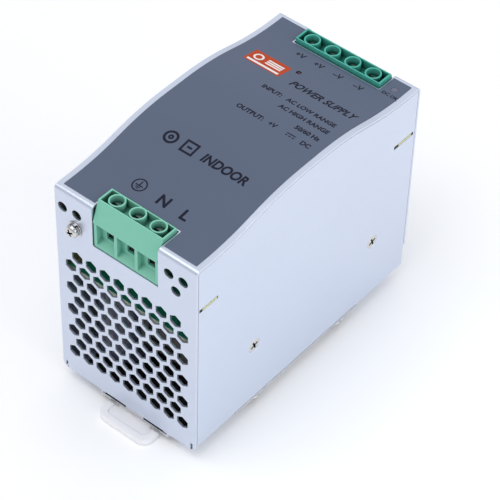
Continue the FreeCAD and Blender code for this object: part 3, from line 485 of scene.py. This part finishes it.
def sink_recess(bm, strips, floor, above):
    """Cut the top along the edges of strips (half length, half width) and sink them to a floor."""
    for long, wide in strips:
        for axis, reach in ((0, long), (1, wide)):
            for side in (-1, 1):
                point = [0, 0, 0]
                point[axis] = side * reach * MM
                normal = [float(axis == 0), float(axis == 1), 0]
                bmesh.ops.bisect_plane(bm, geom=bm.verts[:] + bm.edges[:] + bm.faces[:],
                                       plane_co=point, plane_no=normal)
    inside = []
    for face in bm.faces:
        at = face.calc_center_median() / MM
        if at.z > above and any(abs(at.x) < long and abs(at.y) < wide for long, wide in strips):
            inside.append(face)
    edges = list({e for face in inside for e in face.edges})
    corners = list({v for face in inside for v in face.verts})
    sunk = bmesh.ops.extrude_face_region(bm, geom=inside + edges + corners)
    for v in new_verts(sunk):
        v.co.z = floor * MM
        v.co.x *= RECESS_TAPER
        v.co.y *= RECESS_TAPER
    bmesh.ops.recalc_face_normals(bm, faces=bm.faces)


def placed(bm, at, axis=(0, 0, 1), spin=0.0):
    """Turn a part made along Z to look along an axis, and move it to its place."""
    turn = (Vector(axis).to_track_quat("Z", "Y").to_matrix()
            @ Matrix.Rotation(math.radians(spin), 3, "Z"))
    bmesh.ops.rotate(bm, matrix=turn, verts=bm.verts)
    bmesh.ops.translate(bm, vec=at, verts=bm.verts)
    return bm


def gather(parts):
    """Put several meshes in one."""
    whole = bmesh.new()
    for part in parts:
        mesh = bpy.data.meshes.new("part")
        part.to_mesh(mesh)
        part.free()
        whole.from_mesh(mesh)
        bpy.data.meshes.remove(mesh)
    return whole


SHANK_R = 1.24
for end, poles in (("input", 3), ("output", 4)):
    for number in range(1, poles + 1):
        node = "%s_screw_%d" % (end, number)
        low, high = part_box(node)
        radius, length = (high.x - low.x) / 2 / MM, (high.z - low.z) / MM
        screw = turned([(0, 0), (radius - 0.75, 0), (radius - 0.3, -0.1), (radius, -0.45),
                        (radius, -2.1), (radius - 0.15, -2.2), (SHANK_R, -2.2),
                        (SHANK_R, 0.5 - length), (0.9, -length), (0, -length)])
        sink_recess(screw, [(radius + 1, 0.4)], -1.0, -0.6)
        centre = ((low.x + high.x) / 2, (low.y + high.y) / 2, high.z)
        new_piece(node + "_slotted", placed(screw, centre), screw_zinc, body=node,
                  stands_for=[node])
        node = "%s_cage_%d" % (end, number)
        cage = cad_copy(node)
        soften(cage, 0.12)
        new_piece(node + "_folded", cage, screw_zinc, body=node, stands_for=[node])
    bars = cad_copy(end + "_contacts")
    soften(bars, 0.05)
    new_piece(end + "_contact_bars", bars, contact_tin, stands_for=[end + "_contacts"])

# ---- Case screws ------------------------------------------------------------------------
# Nickel-plated cross-head screws: four countersunk in the side walls, four pan heads in the
# clip, and the earth screw with a split and a flat washer under it and a nut behind.
# Its last colour is painted shade, darkening the cross recesses and the rings round the heads.
nickel = finish("nickel", (0.60, 0.59, 0.575), (0.70, 0.69, 0.67), (0.12, 0.24), 0.0, (1, 1, 1),
                2600.0, 220.0, (0.92, 0.91, 0.88), 0.2, (0.03, 0.03, 0.03), Metallic=1.0)


def pan_screw(radius, height, shank, length):
    """Cross-head pan screw with its seat at z = 0 and its domed head above."""
    screw = turned([(0, height), (radius * 0.45, height * 0.97), (radius * 0.75, height * 0.85),
                    (radius * 0.93, height * 0.6), (radius, height * 0.3), (radius, height * 0.06),
                    (radius * 0.96, 0), (shank, 0), (shank, 0.4 - length), (shank - 0.4, -length),
                    (0, -length)])
    arm, half = radius * 0.58, radius * 0.15
    sink_recess(screw, [(arm, half), (half, arm)], height * 0.3, height * 0.5)
    return screw


low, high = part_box("side_screws")
HEAD_R, M3_R, SINK, FLUSH_L = 3.0, 1.49, 1.6, 3.95
flush = []
for side, x in ((-1, low.x), (1, high.x)):
    for y in (low.y + HEAD_R * MM, high.y - HEAD_R * MM):
        screw = turned([(0, 0), (HEAD_R - 0.25, 0), (HEAD_R, -0.15), (M3_R, -SINK),
                        (M3_R, -FLUSH_L), (0, -FLUSH_L)])
        sink_recess(screw, [(1.9, 0.42), (0.42, 1.9)], -1.3, -0.2)
        flush.append(placed(screw, (x, y, (low.z + high.z) / 2), (side, 0, 0), 20 * side))
new_piece("countersunk_screws", gather(flush), nickel, stands_for=["side_screws"])
low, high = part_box("clip_screws")
CLIP_HEAD_R, CLIP_HEAD_H = 3.0, 2.0
in_clip = []
for x in (low.x + CLIP_HEAD_R * MM, high.x - CLIP_HEAD_R * MM):
    for y in (low.y + CLIP_HEAD_R * MM, high.y - CLIP_HEAD_R * MM):
        screw = pan_screw(CLIP_HEAD_R, CLIP_HEAD_H, M3_R, (high.z - low.z) / MM - CLIP_HEAD_H)
        in_clip.append(placed(screw, (x, y, low.z + CLIP_HEAD_H * MM), (0, 0, -1), 15))
new_piece("clip_pan_screws", gather(in_clip), nickel, stands_for=["clip_screws"])
low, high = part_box("earth_screw")
washer_low, washer_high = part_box("earth_washers")
earth_x, earth_z = (low.x + high.x) / 2, (low.z + high.z) / 2
earth_r, earth_h = (high.x - low.x) / 2 / MM, (washer_low.y - low.y) / MM
screw = pan_screw(earth_r, earth_h, 1.45, (high.y - washer_low.y) / MM)
new_piece("earth_pan_screw", placed(screw, (earth_x, washer_low.y, earth_z), (0, -1, 0), 25),
          nickel, stands_for=["earth_screw"])
FLAT_T, BORE, SPLIT_PITCH = 0.5, 1.55, 0.1
outer = (washer_high.x - washer_low.x) / 2 / MM
flat = bmesh.new()
bmesh.ops.create_circle(flat, segments=40, radius=outer * MM)
inside = new_verts(bmesh.ops.extrude_edge_only(flat, edges=flat.edges[:]))
bmesh.ops.scale(flat, vec=(BORE / outer, BORE / outer, 1), verts=inside)
bmesh.ops.solidify(flat, geom=flat.faces[:], thickness=FLAT_T * MM)
bmesh.ops.recalc_face_normals(flat, faces=flat.faces)
flat_low = min(v.co.z for v in flat.verts)
soften(flat, 0.08)
placed(flat, (earth_x, washer_high.y + flat_low, earth_z), (0, -1, 0))
split = bmesh.new()
bore, rim_r, foot = BORE + 0.02, earth_r + 0.1, 0.02
top = (washer_high.y - washer_low.y) / MM - FLAT_T - 0.12
section = [split.verts.new((r * MM, 0, z * MM)) for r, z in
           ((bore, foot), (rim_r, foot), (rim_r, top), (bore, top))]
split.faces.new(section)
COIL_STEPS = 36
bmesh.ops.spin(split, geom=split.faces[:] + split.edges[:] + split.verts[:], cent=(0, 0, 0),
               axis=(0, 0, 1), dvec=(0, 0, SPLIT_PITCH * MM / COIL_STEPS),
               angle=math.tau * 0.965, steps=COIL_STEPS, use_merge=False)
bmesh.ops.recalc_face_normals(split, faces=split.faces)
placed(split, (earth_x, washer_high.y - FLAT_T * MM, earth_z), (0, -1, 0), 70)
new_piece("earth_washer_pair", gather([flat, split]), nickel, stands_for=["earth_washers"])
nut = cad_copy("earth_nut")
soften(nut, 0.15)
new_piece("earth_hex_nut", nut, nickel, stands_for=["earth_nut"])

# ---- Shelves ----------------------------------------------------------------------------
# Yellow-passivated steel shelves under the terminal boards; their tabs show in the slots of
# the side walls.
yellow_zinc = finish("yellow_zinc", (0.52, 0.56, 0.30), (0.60, 0.58, 0.36), (0.24, 0.36), 0.0,
                     (1, 1, 1), 1200.0, 90.0, (0.78, 0.80, 0.6), 0.2, Metallic=0.7)
for end in ("input", "output"):
    shelf = cad_copy(end + "_shelf")
    soften(shelf, 0.08)
    new_piece(end + "_shelf_sheet", shelf, yellow_zinc, stands_for=[end + "_shelf"])

# ---- Rail clip and latch ----------------------------------------------------------------
# The clip is folded from bright zinc-plated steel. The latch is moulded in translucent
# white nylon with a rounded rim round its pull tab; a flat steel zigzag pushes it back.
# Its last colour is painted shade, darkening the clip where it lies under the case's edge.
clip_zinc = finish("clip_zinc", (0.60, 0.61, 0.63), (0.68, 0.69, 0.71), (0.24, 0.36), 0.0,
                   (1, 0.3, 1), 1200.0, 40.0, (0.85, 0.86, 0.88), 0.25, (0.03, 0.03, 0.03), Metallic=0.95)
clip = cad_copy("rail_clip")
soften(clip, SHEET_EDGE)
new_piece("folded_clip", clip, clip_zinc, stands_for=["rail_clip"])
nylon = finish("white_nylon", (0.90, 0.89, 0.93), (0.94, 0.93, 0.96), (0.34, 0.44), 0.0, (1, 1, 1),
               1500.0, 50.0, Subsurface_Weight=0.5, Subsurface_Radius=(0.004, 0.004, 0.004),
               Subsurface_Scale=0.6)
latch = cad_copy("latch")
soften(latch, 0.12)
new_piece("nylon_latch", latch, nylon, body="latch", stands_for=["latch"])
spring_steel = finish("spring_steel", (0.42, 0.42, 0.44), (0.5, 0.5, 0.52), (0.25, 0.4), Metallic=1.0)
spring = cad_copy("latch_spring")
spring_piece = new_piece("zigzag_spring", spring, spring_steel,
                         stands_for=["latch_spring"])
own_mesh(spring_piece)

# ---- Boards and the parts on them -------------------------------------------------------
# Green solder mask on pale glass-fibre board, and the power parts under it. They show dark
# behind the vents.
solder_mask = finish("solder_mask", (0.012, 0.27, 0.165), (0.016, 0.30, 0.19), (0.28, 0.36), 0.0,
                     (1, 1, 1), 700.0, 60.0)
low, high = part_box("indicator_led")
LENS_R, LENS_H, DOME, FLANGE, LEG_R = 1.42, 6.2, 0.15, 0.8, 0.28
foot_r, foot_z = LENS_R + 0.25, -LENS_H - FLANGE
lens = turned([(0, DOME), (0.6, 0.13), (1.1, 0.07), (1.34, -0.02), (LENS_R, -0.2),
               (LENS_R, -LENS_H), (foot_r, -LENS_H), (foot_r, foot_z), (0, foot_z)])
lens_at = ((low.x + high.x) / 2, (low.y + high.y) / 2, high.z - DOME * MM)
lamp_lens = finish("lamp_lens", (0.10, 0.105, 0.175), (0.13, 0.13, 0.21), (0.14, 0.22),
                   Coat_Weight=0.4)
lamp_parts = [placed(lens, lens_at)]
leg_end = LENS_H + FLANGE - (high.z - low.z) / MM
for side in (-1, 1):
    leg = turned([(0, 0), (LEG_R, 0), (LEG_R, leg_end), (0, leg_end)], 8)
    lamp_parts.append(placed(leg, (lens_at[0] + side * 0.9 * MM, lens_at[1],
                                   lens_at[2] - (LENS_H + 0.7) * MM)))
new_piece("lamp_lens", gather(lamp_parts), lamp_lens, stands_for=["indicator_led"])
board_edge = finish("cut_glass_fibre", (0.50, 0.54, 0.42), (0.58, 0.61, 0.50), (0.6, 0.8), 0.0)
EDGE_T = 0.1
for node in ("main_board", "input_board", "output_board"):
    low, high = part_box(node)
    size, middle = high - low, (low + high) / 2
    rim = bmesh.new()
    bmesh.ops.create_grid(rim, x_segments=1, y_segments=1, size=0.5)
    bmesh.ops.scale(rim, vec=(size.x + 2 * EDGE_T * MM, size.y + 2 * EDGE_T * MM, 1),
                    verts=rim.verts)
    bmesh.ops.translate(rim, vec=(middle.x, middle.y, low.z), verts=rim.verts)
    bmesh.ops.inset_region(rim, faces=rim.faces[:], thickness=EDGE_T * MM, use_boundary=True)
    inside = min(rim.faces, key=lambda f: (f.calc_center_median().xy - middle.xy).length)
    bmesh.ops.delete(rim, geom=[inside], context="FACES_ONLY")
    top = bmesh.ops.extrude_face_region(rim, geom=rim.faces[:], use_keep_orig=True)
    bmesh.ops.translate(rim, vec=(0, 0, size.z), verts=new_verts(top))
    bmesh.ops.recalc_face_normals(rim, faces=rim.faces)
    new_piece(node + "_cut_edge", rim, board_edge)
inner_finishes = {
    "main_board": solder_mask, "input_board": solder_mask, "output_board": solder_mask,
    "input_risers": screw_zinc, "output_risers": screw_zinc,
    "insulation_sheet": finish("insulation", (0.02, 0.02, 0.022), (0.03, 0.03, 0.032), (0.35, 0.5)),
    "left_heat_sink": finish("sink_aluminium", (0.5, 0.51, 0.53), (0.58, 0.59, 0.6), (0.3, 0.45), 0.0,
                             (1, 0.2, 1), 900.0, 40.0, Metallic=1.0),
    "bulk_capacitors": finish("can_sleeve", (0.05, 0.055, 0.09), (0.065, 0.07, 0.11), (0.2, 0.3), 0.0),
    "choke_core": finish("ferrite", (0.02, 0.02, 0.022), (0.035, 0.035, 0.037), (0.5, 0.7), 0.02,
                         (1, 1, 1), 900.0, 60.0),
    "inductor_winding": finish("copper_wire", (0.5, 0.2, 0.07), (0.58, 0.26, 0.1), (0.25, 0.4), 0.05,
                            (0.1, 0.1, 1), 1800.0, 80.0, Metallic=0.9),
    "transformer_winding": finish("winding_tape", (0.6, 0.47, 0.08), (0.66, 0.52, 0.1), (0.3, 0.4)),
    "filter_capacitor": finish("box_capacitor", (0.22, 0.23, 0.27), (0.26, 0.27, 0.31), (0.3, 0.4)),
    "fuse": finish("fuse_glass", (0.6, 0.62, 0.6), (0.7, 0.72, 0.7), (0.08, 0.2)),
    "thermistor": finish("thermistor_disc", (0.02, 0.06, 0.03), (0.03, 0.08, 0.04), (0.4, 0.5)),
    "control_chips": finish("black_epoxy", (0.015, 0.015, 0.016), (0.022, 0.022, 0.023), (0.45, 0.6)),
    "trimmer_body": finish("trimmer_blue", (0.01, 0.05, 0.25), (0.015, 0.06, 0.3), (0.35, 0.45)),
    "trimmer_shaft": finish("trimmer_red", (0.13, 0.06, 0.10), (0.16, 0.075, 0.12), (0.4, 0.5)),
    "range_switch_body": finish("switch_black", (0.02, 0.02, 0.02), (0.03, 0.03, 0.03), (0.35, 0.45)),
    "range_switch_knob": finish("switch_red", (0.55, 0.02, 0.012), (0.62, 0.03, 0.02), (0.3, 0.4)),
}
for like, others in (("left_heat_sink", ["right_heat_sink"]), ("bulk_capacitors", ["output_capacitors"]),
                     ("choke_core", ["transformer_core", "inductor_core"]),
                     ("range_switch_body", ["transformer_bobbin", "choke_winding"]),
                     ("control_chips", ["bridge_rectifier", "switching_transistors", "output_diodes"])):
    for node in others:
        inner_finishes[node] = inner_finishes[like]
for node, material in inner_finishes.items():
    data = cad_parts[node].data
    data.materials.clear()
    data.materials.append(material)
